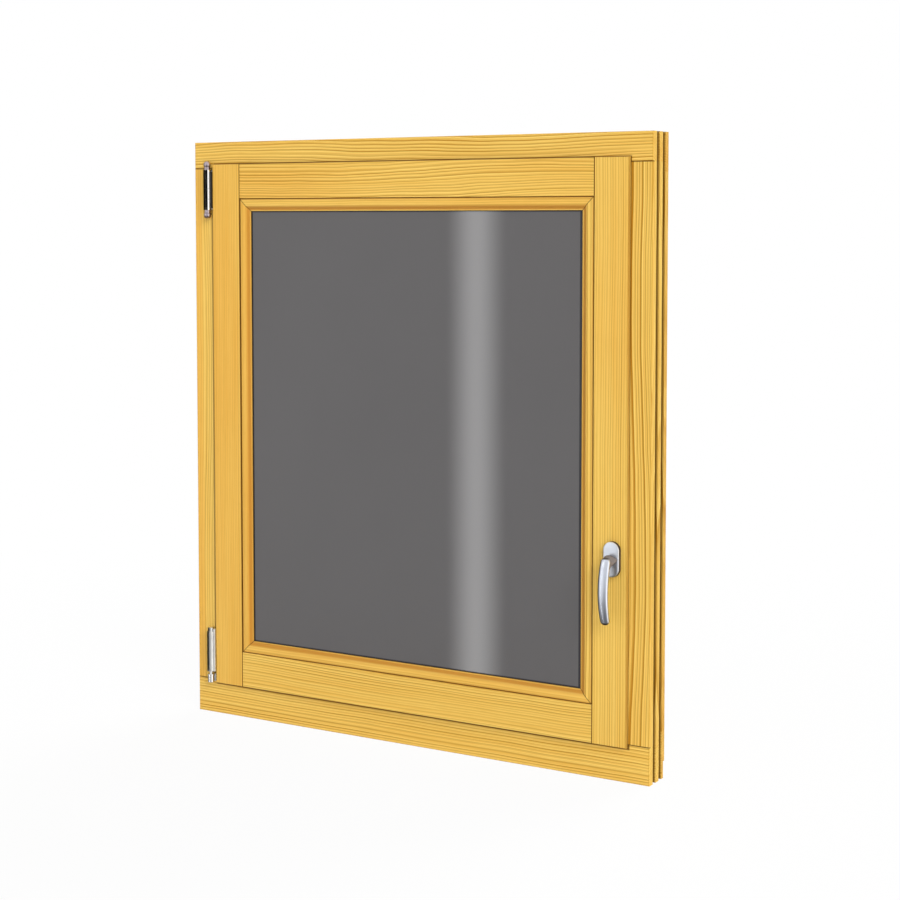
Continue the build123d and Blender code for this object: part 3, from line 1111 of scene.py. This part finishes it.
@dataclass
class GlazingBeads:
    """Four mitred beads with a quirk, a rounded crown, a fall and a lip at the glass.

    Sizes are in millimetres. The section's points are (in from the bead's outer edge, down from its face), and
    a third number rounds that corner. The painted shade's ramps are measured in from the outer edge too, and
    the mitre's from the joint.
    """

    width: float = 26.0
    leg: float = 4.0
    face: tuple[tuple[float, ...], ...] = (
        (0.0, 3.2),
        (1.6, 3.2, 0.4),
        (2.0, 0.4, 1.8),
        (15.0, 0.2, 12.0),
        (22.2, 4.8, 1.0),
        (26.0, 5.2),
    )
    steps: int = 8
    # Painted shade: on the fall, beside the quirk, in the quirk, at the lip's edge by the glass and in the mitres.
    fall: Ramp = Ramp(14.0, 19.0, 0.9)
    fall_end: Ramp = Ramp(24.6, 23.6)
    crown: Ramp = Ramp(6.5, 3.0, 0.5)
    quirk: Ramp = Ramp(2.6, 1.2, 0.8)
    lip: Ramp = Ramp(25.0, 26.0, 0.5)
    mitre: Ramp = Ramp(1.6, 0.6, 0.75)
    beads: tuple[tuple[Side, Cut], ...] = (
        (Side.LEFT, Cut(Run.UPRIGHT, -0.47, 0.0, 31.0, pitch=3.6, wander=6.0, waver=3.0, contrast=0.6, tone=0.5)),
        (Side.RIGHT, Cut(Run.UPRIGHT, 0.33, 0.02, 33.0, pitch=4.4, wander=8.0, waver=6.0, contrast=0.9, tone=-0.15)),
        (Side.TOP, Cut(Run.ACROSS, 1.02, 0.0, 36.0, pitch=4.0, wander=8.0, waver=6.0, contrast=0.6, tone=0.08)),
        (Side.BOTTOM, Cut(Run.ACROSS, 0.10, 0.0, 39.0, pitch=4.0, wander=8.0, waver=6.0, contrast=0.6, tone=0.08)),
    )

    def build(self) -> None:
        """Builds the four beads."""
        for side, cut in self.beads:
            self.bead(side, cut)

    def section(self, front: float, node: str) -> list[Pair]:
        """The bead's whole section as (inward, Y) pairs in metres.

        Args:
            front: The sash face's Y.
            node: The construction's bead.

        Returns:
            The section, face first and the leg in the rebate last.
        """
        face = [(inward * MM, front + down * MM) for inward, down in rounded(self.face, self.steps)]
        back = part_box("gasket_inner")[0].y
        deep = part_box(node)[1].y
        return [*face, (self.width * MM, back), (self.leg * MM, back), (self.leg * MM, deep), (0.0, deep)]

    def bead(self, side: Side, cut: Cut) -> None:
        """Builds one bead.

        Args:
            side: The side it is on.
            cut: How its timber was sawn.
        """
        node = f"glazing_bead_{side.value}"
        low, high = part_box(node)
        rows = []
        for end in (0, 1):
            row = []
            for run, y in self.section(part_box("sash_stile_left")[0].y, node):
                if side.upright:
                    x = low.x + run if side is Side.LEFT else high.x - run
                    z = high.z - run if end else low.z + run
                else:
                    x = high.x - run if end else low.x + run
                    z = high.z - run if side is Side.TOP else low.z + run
                row.append((x, y, z))
            rows.append(row)
        if side in (Side.LEFT, Side.TOP):
            rows.reverse()
        points, faces = bridge(rows, closed=True)
        piece = add_mesh(f"{node}_moulded", points, faces, self.pine(side, cut, low, high))
        seat(piece, "window", "pine", node)

    def pine(self, side: Side, cut: Cut, low: Vector, high: Vector) -> bpy.types.Material:
        """The bead's pine with painted shade in its quirk and beside it, on its fall, at its lip edge and in its
        mitres.

        Args:
            side: The side it is on.
            cut: How its timber was sawn.
            low: The bead's lowest corner.
            high: Its highest corner.

        Returns:
            The material.
        """
        board = Board(f"pine_bead_{side.value}", cut)
        inward = {
            Side.LEFT: board.x - low.x,
            Side.RIGHT: high.x - board.x,
            Side.TOP: high.z - board.z,
            Side.BOTTOM: board.z - low.z,
        }[side]
        start, end = (low.z, high.z) if side.upright else (low.x, high.x)
        along = (board.along - start).least(end - board.along)
        # Painted shade on the fall, beside and in the quirk, at the lip's edge and in the mitres.
        board.mark(self.fall.over(inward) * self.fall_end.over(inward), PINE.fall)
        board.mark(self.crown.over(inward), PINE.fall)
        board.mark(self.quirk.over(inward), PINE.seam)
        board.mark(self.lip.over(inward), PINE.seam)
        board.mark(self.mitre.over(along - inward), PINE.seam)
        return board.material()


@dataclass
class GlazingUnit:
    """The three panes with their spacer bars and gaskets."""

    def build(self) -> None:
        """Dresses the panes, spacers, gaskets and the sash's seal."""
        glass = GLASS.material()
        for pane in ("inner", "middle", "outer"):
            dress_node(f"glass_{pane}", glass)
        spacer = SPACER.material()
        for gap in ("inner", "middle"):
            dress_node(f"spacer_{gap}", spacer)
        rubber = RUBBER.material()
        for strip in ("gasket_inner", "gasket_outer", "sash_seal"):
            dress_node(strip, rubber)


@dataclass
class LeverHandle:
    """An oblong rosette and a bowed lever on a round neck that spreads to meet it.

    Sizes are in millimetres. The bow's points are (up, out) from the handle's axis on the sash's face, and
    the neck's loops are (out, half as wide, top, bottom). The lever's painted shade is measured off its bow's
    middle line, to the left of the axis, and up from the axis at both ends.
    """

    bow: tuple[Pair, Pair, Pair] = ((-2.0, 31.0), (-55.0, 41.0), (-109.0, 32.0))
    half_wide: float = 10.0
    half_thick: float = 6.0
    squareness: float = 2.5
    taper: Point = (0.94, 0.26, -0.32)
    bow_rows: int = 30
    end_rows: int = 7
    pole_gap: float = 0.35
    oval_points: int = 40
    neck: tuple[tuple[float, float, float, float], ...] = (
        (5.0, 7.5, 7.5, -7.5),
        (10.3, 7.5, 7.5, -7.5),
        (10.8, 13.0, 6.5, -6.0),
        (11.6, 13.8, 6.8, -6.4),
        (14.0, 13.0, 8.2, -8.2),
        (17.5, 11.8, 9.8, -11.2),
        (21.0, 10.0, 10.4, -14.4),
        (25.0, 9.0, 9.6, -17.6),
        (29.0, 8.2, 7.4, -21.0),
        (32.0, 7.0, 4.0, -22.5),
        (34.5, 4.5, 0.0, -21.5),
    )
    bevel_wide: float = 3.4
    bevel_deep: float = 2.6
    bevel_steps: int = 6
    hole: float = 8.0
    hole_bevel: float = 0.5
    rose_points: int = 96
    # Painted shade on the lever: towards the sash, along its left edge and round both ends.
    edge_back: Ramp = Ramp(0.5, -1.5)
    edge_left: Ramp = Ramp(5.0, 7.0)
    edge_top: Ramp = Ramp(3.0, 5.5)
    edge_tip: Ramp = Ramp(-111.5, -114.5)
    edge_share: float = 0.9

    def __post_init__(self) -> None:
        """Reads where the handle's axis and the sash's face are."""
        low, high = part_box("handle_spindle")
        self.axis = (low + high) / 2
        self.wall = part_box("handle_rosette")[1].y

    def build(self) -> None:
        """Builds the rosette, the lever with its neck, and dresses the spindle."""
        self.rosette(SATIN.material())
        self.lever(LEVER.material(self.rim))
        dress_node("handle_spindle", STEEL.material())

    def loop(self, out: float, wide: float, top: float, bottom: float, lift: float = 0.0) -> list[Point]:
        """One upright loop round the handle's axis.

        Args:
            out: How far it stands off the sash.
            wide: Half its width.
            top: How far up it reaches.
            bottom: How far up its lowest point is, so less than 0.
            lift: How far each half is moved out before it is drawn, which leaves straight sides.

        Returns:
            The loop's points.
        """
        middle, tall = (top + bottom) / 2, (top - bottom) / 2 - lift
        points = []
        for i in range(self.rose_points):
            turn = 2 * math.pi * (i + 0.5) / self.rose_points
            up = middle + math.copysign(lift, math.sin(turn)) + tall * math.sin(turn)
            x = self.axis.x + wide * MM * math.cos(turn)
            points.append((x, self.wall - out * MM, self.axis.z + up * MM))
        return points

    def rosette(self, metal: bpy.types.Material) -> None:
        """Builds the rosette with its bevelled edge and the neck's hole."""
        low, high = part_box("handle_rosette")
        wide, tall, thick = (high.x - low.x) / 2 / MM, (high.z - low.z) / 2 / MM, (high.y - low.y) / MM
        edge = [(0.0, 0.0)]
        for step in range(self.bevel_steps + 1):
            turn = math.pi / 2 * step / self.bevel_steps
            inset = self.bevel_wide * (1 - math.cos(turn))
            edge.append((inset, thick - self.bevel_deep * (1 - math.sin(turn))))
        rows = [self.loop(out, wide - inset, tall - inset, inset - tall, tall - wide) for inset, out in edge]
        bevel = self.hole_bevel
        for radius, out in ((self.hole + bevel, thick), (self.hole, thick - bevel), (self.hole, 0.0)):
            rows.append(self.loop(out, radius, radius, -radius))
        points, faces = bridge([*rows, rows[0]], closed=False)
        piece = add_mesh("handle_rosette_cover", points, faces, metal)
        # The side wall takes the dark colour of painted shade.
        piece.data.materials.append(ROSE_SIDE_SHADE.material())
        for face in piece.data.polygons[: self.rose_points]:
            face.material_index = 1
        seat(piece, "window", "satin_metal", "handle_rosette")

    def rim(self, x: Signal, y: Signal, z: Signal) -> Signal:
        """How far the lever's painted shade shows at a point.

        Args:
            x: The point's X.
            y: Its Y.
            z: Its Z.

        Returns:
            The share, full towards the sash, along the left edge and round both ends.
        """
        centre, radius, _, _ = self.circle()
        up, out = z - self.axis.z, self.wall - y
        beyond = ((up - centre.x * MM) ** 2 + (out - centre.y * MM) ** 2).root() - radius * MM
        sides = self.edge_back.over(beyond).most(self.edge_left.over(self.axis.x - x))
        ends = self.edge_top.over(up).most(self.edge_tip.over(up))
        return sides.most(ends) * self.edge_share

    def circle(self) -> tuple[Vector, float, float, float]:
        """The bow's circle as centre, radius, and the angles of its top and tip."""
        (a, b), (c, d), (e, f) = self.bow
        twice = 2 * (a * (d - f) + c * (f - b) + e * (b - d))
        first, second, third = a * a + b * b, c * c + d * d, e * e + f * f
        up = (first * (d - f) + second * (f - b) + third * (b - d)) / twice
        out = (first * (e - c) + second * (a - e) + third * (c - a)) / twice
        centre = Vector((up, out))
        top, tip = Vector((a, b)) - centre, Vector((e, f)) - centre
        return centre, top.length, math.atan2(top.y, top.x), math.atan2(tip.y, tip.x)

    def lever(self, metal: bpy.types.Material) -> None:
        """Builds the lever and the neck as one piece."""
        centre, radius, top, tip = self.circle()
        ends = [math.pi / 2 * (1 - (step + self.pole_gap) / self.end_rows) for step in range(self.end_rows)]
        stations = [(0.0, end) for end in ends]
        stations += [(step / self.bow_rows, 0.0) for step in range(self.bow_rows + 1)]
        stations += [(1.0, -end) for end in reversed(ends)]
        start, swell, narrowing = self.taper
        rows = []
        for share, end in stations:
            turn = top + (tip - top) * share
            normal = Vector((math.cos(turn), math.sin(turn)))
            tangent = Vector((normal.y, -normal.x))
            width = self.half_wide * (start + swell * share + narrowing * share**2)
            middle = centre + normal * radius + tangent * width * math.sin(end)
            rows.append(self.oval(middle, normal, width * math.cos(end), self.half_thick * math.cos(end)))
        points, faces = bridge(rows, closed=True)
        more_points, more_faces = bridge([self.loop(*sizes) for sizes in self.neck], closed=True)
        count = len(points)
        faces += [[count + index for index in face] for face in more_faces]
        first = len(faces) - len(more_faces)
        piece = add_mesh("handle_lever_cast", [*points, *more_points], faces, metal)
        # The neck's darker grey: painted shade.
        piece.data.materials.append(NECK_SHADE.material())
        for face in piece.data.polygons[first:]:
            face.material_index = 1
        seat(piece, "handle", "satin_metal", "handle_lever")

    def oval(self, middle: Vector, normal: Vector, wide: float, thick: float) -> list[Point]:
        """One loop of the lever, a little squarer than an ellipse.

        Args:
            middle: Its middle as (up, out).
            normal: The direction off the lever's face as (up, out).
            wide: Half its width.
            thick: Half its thickness.

        Returns:
            The loop's points.
        """
        power = 2 / self.squareness
        loop = []
        for i in range(self.oval_points):
            turn = 2 * math.pi * i / self.oval_points
            cos, sin = math.cos(turn), math.sin(turn)
            aside = math.copysign(abs(cos) ** power, cos) * wide
            spot = middle + normal * (math.copysign(abs(sin) ** power, sin) * thick)
            loop.append((self.axis.x + aside * MM, self.wall - spot.y * MM, self.axis.z + spot.x * MM))
        return loop


@dataclass
class Hinges:
    """The upper bearing with its rounded caps and the lower corner bearing."""

    bright_reach: float = 9.6

    def build(self) -> None:
        """Dresses the hinges, with the upper leaf bright beside its barrel and black at the sash."""
        steel, nickel = POLISHED.material(), NICKEL.material()
        dress_node("hinge_top_bearing", steel)
        dress_node("hinge_top_pin", CAP_NICKEL.material())
        dress_node("hinge_bottom_bearing", steel)
        dress_node("hinge_bottom_band", nickel)
        dress_node("hinge_bottom_pin", steel)
        low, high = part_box("hinge_top_bearing")
        dress_node("hinge_top_leaf", LEAF.material((low.x + high.x) / 2 + self.bright_reach * MM))


@dataclass
class RainRail:
    """The rail that sheds water outside, with its end caps."""

    def build(self) -> None:
        """Dresses the rail and caps."""
        dress_node("rain_rail", ALUMINIUM.material())
        plastic = CAP_PLASTIC.material()
        for side in ("left", "right"):
            dress_node(f"rain_rail_cap_{side}", plastic)


@dataclass(frozen=True)
class Screen:
    """A bright part of the room that metal and glass mirror.

    Attributes:
        aim: The direction it lies in, as (X, Y).
        across: How far into that direction it starts to show and is full.
        up: How high up it starts to show more and is brightest.
        share: How much brighter it is there.
        base: How bright it is below.
    """

    aim: Pair
    across: Pair
    up: Pair
    share: float
    base: float = 0.0

    def over(self, x: Signal, y: Signal, z: Signal) -> Signal:
        """How bright it is in the direction looked in."""
        toward = x * self.aim[0] + y * self.aim[1]
        return toward.between(*self.across) * (z.between(*self.up) * self.share + self.base)


@dataclass
class Studio:
    """A pale floor, soft light and the camera.

    Angles are in degrees, lengths in metres, and the lens and film in millimetres. A lamp is its name, which
    way it comes from round from +X, how high it stands and its strength. A card is its barrel's node and
    where it starts round that from +X.
    """

    lens: float = 73.43
    film: float = 36.0
    turn: float = 30.78
    tilt: float = 3.55
    place: Point = (1.905, -3.069, 1.041)
    shift: float = -0.13
    white: Colour = (1.0, 1.0, 1.0)
    room: float = 0.33
    gaps: float = 0.06
    bright: float = 1.3
    screens: tuple[Screen, ...] = (
        Screen(aim=(1.0, 0.0), across=(0.62, 0.8), up=(-0.9, -0.4), share=1.0),
        Screen(aim=(-0.5, -0.866), across=(0.84, 0.95), up=(-0.75, -0.2), share=0.68),
        Screen(aim=(0.0, -1.0), across=(-0.1, 0.4), up=(-0.65, 0.2), share=0.5, base=0.08),
    )
    ceiling: Pair = (0.25, 0.7)
    ceiling_share: float = 0.7
    floor_reach: float = 30.0
    floor_paint: Colour = (0.9, 0.9, 0.9)
    floor_white: Pair = (0.94, 1.0)
    floor_fade: Pair = (0.6, 2.4)
    lamps: tuple[tuple[str, float, float, float], ...] = (
        ("key", -38.0, 32.0, 2.1),
        ("fill", -118.0, 18.0, 0.34),
        ("back", 80.0, 35.0, 1.8),
    )
    lamp_spread: float = 40.0
    lamp_far: float = 4.0
    strip_place: Point = (-1.554, -3.0, 0.6)
    strip_half: float = 0.142
    strip_tall: float = 3.6
    strip_glow: Pair = (0.8, 5.3)
    cards: tuple[tuple[str, float], ...] = (("hinge_top_bearing", -46.0), ("hinge_bottom_band", -86.0))
    card_end: float = -230.0
    card_reach: float = 0.0125
    card_points: int = 25
    card_paint: Colour = (0.02, 0.02, 0.02)

    def build(self) -> None:
        """Sets the scene."""
        self.world()
        self.floor()
        for name, azimuth, height, strength in self.lamps:
            self.lamp(name, azimuth, height, strength)
        self.strip()
        for node, start in self.cards:
            self.black_card(node, start)
        self.camera()
        bpy.context.scene.view_settings.view_transform = "Standard"

    def world(self) -> None:
        """White to the camera, screens and dark gaps to metal, and an even room to the rest."""
        shader = Shader(bpy.data.worlds.new("studio"))
        x, y, z = shader.place("Generated")
        rays = shader.node("ShaderNodeLightPath")
        seen = shader.out(rays, "Is Camera Ray").most(shader.out(rays, "Is Transmission Ray"))
        screens = z.between(*self.ceiling) * self.ceiling_share
        for screen in self.screens:
            screens = screens.most(screen.over(x, y, z))
        gaps, bright = shader.glow(self.white, self.gaps), shader.glow(self.white, self.bright)
        mirrored = shader.mixed(screens, gaps, bright)
        lit = shader.mixed(shader.out(rays, "Is Glossy Ray"), shader.glow(self.white, self.room), mirrored)
        bpy.context.scene.world = shader.close(shader.mixed(seen, lit, shader.glow(self.white, 1.0)))

    def floor(self) -> None:
        """A wide pale floor that keeps a soft shadow."""
        shader = Shader.named("studio_floor")
        seen = shader.out(shader.node("ShaderNodeLightPath"), "Is Camera Ray")
        x, y, _ = shader.place()
        near, far = self.floor_white
        white = (x * x + y * y).root().between(*self.floor_fade) * (far - near) + near
        paint = shader.out(shader.node("ShaderNodeBsdfDiffuse", sockets={"Color": self.floor_paint}))
        material = shader.close(shader.mixed(seen * white, paint, shader.glow(self.white, 1.0)))
        reach = self.floor_reach
        corners = [(-reach, -reach, 0.0), (reach, -reach, 0.0), (reach, reach, 0.0), (-reach, reach, 0.0)]
        plane = add_mesh("studio_floor", corners, [(0, 1, 2, 3)], material)
        plane.visible_glossy = False
        plane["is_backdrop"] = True

    def lamp(self, name: str, azimuth: float, height: float, strength: float) -> None:
        """Adds one broad distant light.

        Args:
            name: The light's name.
            azimuth: Which way it comes from, in degrees from +X.
            height: How high it stands, in degrees.
            strength: Its strength.
        """
        data = bpy.data.lights.new(name, "SUN")
        data.angle = math.radians(self.lamp_spread)
        data.energy = strength
        lamp = bpy.data.objects.new(name, data)
        level, around = math.cos(math.radians(height)), math.radians(azimuth)
        aim = Vector((level * math.cos(around), level * math.sin(around), math.sin(math.radians(height))))
        lamp.location = aim * self.lamp_far
        lamp.rotation_euler = (-aim).to_track_quat("-Z", "Y").to_euler()
        lamp.visible_glossy = False
        bpy.context.scene.collection.objects.link(lamp)

    def only_mirrored(self, card: bpy.types.Object) -> None:
        """Keeps a studio card out of everything but reflections."""
        card.visible_camera = False
        card.visible_diffuse = False
        card.visible_shadow = False
        card.visible_transmission = False
        card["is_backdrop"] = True

    def strip(self) -> None:
        """A tall soft strip whose reflection stands in the glass."""
        shader = Shader.named("strip_light")
        x, _, _ = shader.place()
        edge = x.size().between(self.strip_half, 0.0)
        share = edge * edge * (3.0 - edge * 2.0)
        faint, strong = (shader.glow(self.white, strength) for strength in self.strip_glow)
        material = shader.close(shader.mixed(share, faint, strong))
        half, tall = self.strip_half, self.strip_tall
        corners = [(-half, 0.0, -tall), (half, 0.0, -tall), (half, 0.0, tall), (-half, 0.0, tall)]
        strip = add_mesh("strip_light", corners, [(0, 1, 2, 3)], material)
        strip.location = self.strip_place
        self.only_mirrored(strip)

    def black_card(self, node: str, start: float) -> None:
        """Adds a curved black card in front of a hinge's barrel, which darkens what it mirrors.

        Args:
            node: The barrel's node.
            start: Where the card starts round the barrel, in degrees from +X.
        """
        low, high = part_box(node)
        centre_x, centre_y = self.hinge_axis()
        count = self.card_points
        points = []
        for height in (low.z, high.z):
            for step in range(count):
                turn = math.radians(start + (self.card_end - start) * step / (count - 1))
                x = centre_x + self.card_reach * math.cos(turn)
                points.append((x, centre_y + self.card_reach * math.sin(turn), height))
        faces = [(i, i + 1, count + i + 1, count + i) for i in range(count - 1)]
        shader = Shader.named(f"black_card_{node}")
        black = shader.node("ShaderNodeBsdfDiffuse", sockets={"Color": self.card_paint})
        self.only_mirrored(add_mesh(f"black_card_{node}", points, faces, shader.close(shader.out(black))))

    def hinge_axis(self) -> Pair:
        """Where the hinges' axis stands, as (X, Y)."""
        low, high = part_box("hinge_bottom_pin")
        return (low.x + high.x) / 2, (low.y + high.y) / 2

    def camera(self) -> None:
        """The photograph's view."""
        data = bpy.data.cameras.new("camera")
        data.lens = self.lens
        data.sensor_width = self.film
        data.shift_y = self.shift
        camera = bpy.data.objects.new("camera", data)
        camera.location = self.place
        camera.rotation_euler = (math.radians(90 - self.tilt), 0.0, math.radians(self.turn))
        bpy.context.scene.collection.objects.link(camera)
        bpy.context.scene.camera = camera


class SubAssembly(Protocol):
    """Anything that main() builds."""

    def build(self) -> None:
        """Makes or dresses its pieces."""


def main() -> None:
    """Builds every sub-assembly in order."""
    logging.basicConfig(level=logging.INFO, format="%(name)s: %(message)s")
    builders: Sequence[SubAssembly] = (
        FrameTimbers(),
        SashTimbers(),
        GlazingBeads(),
        GlazingUnit(),
        LeverHandle(),
        Hinges(),
        RainRail(),
        Studio(),
    )
    for builder in builders:
        builder.build()
        log.info("%s done", type(builder).__name__)


if __name__ == "__main__":
    main()
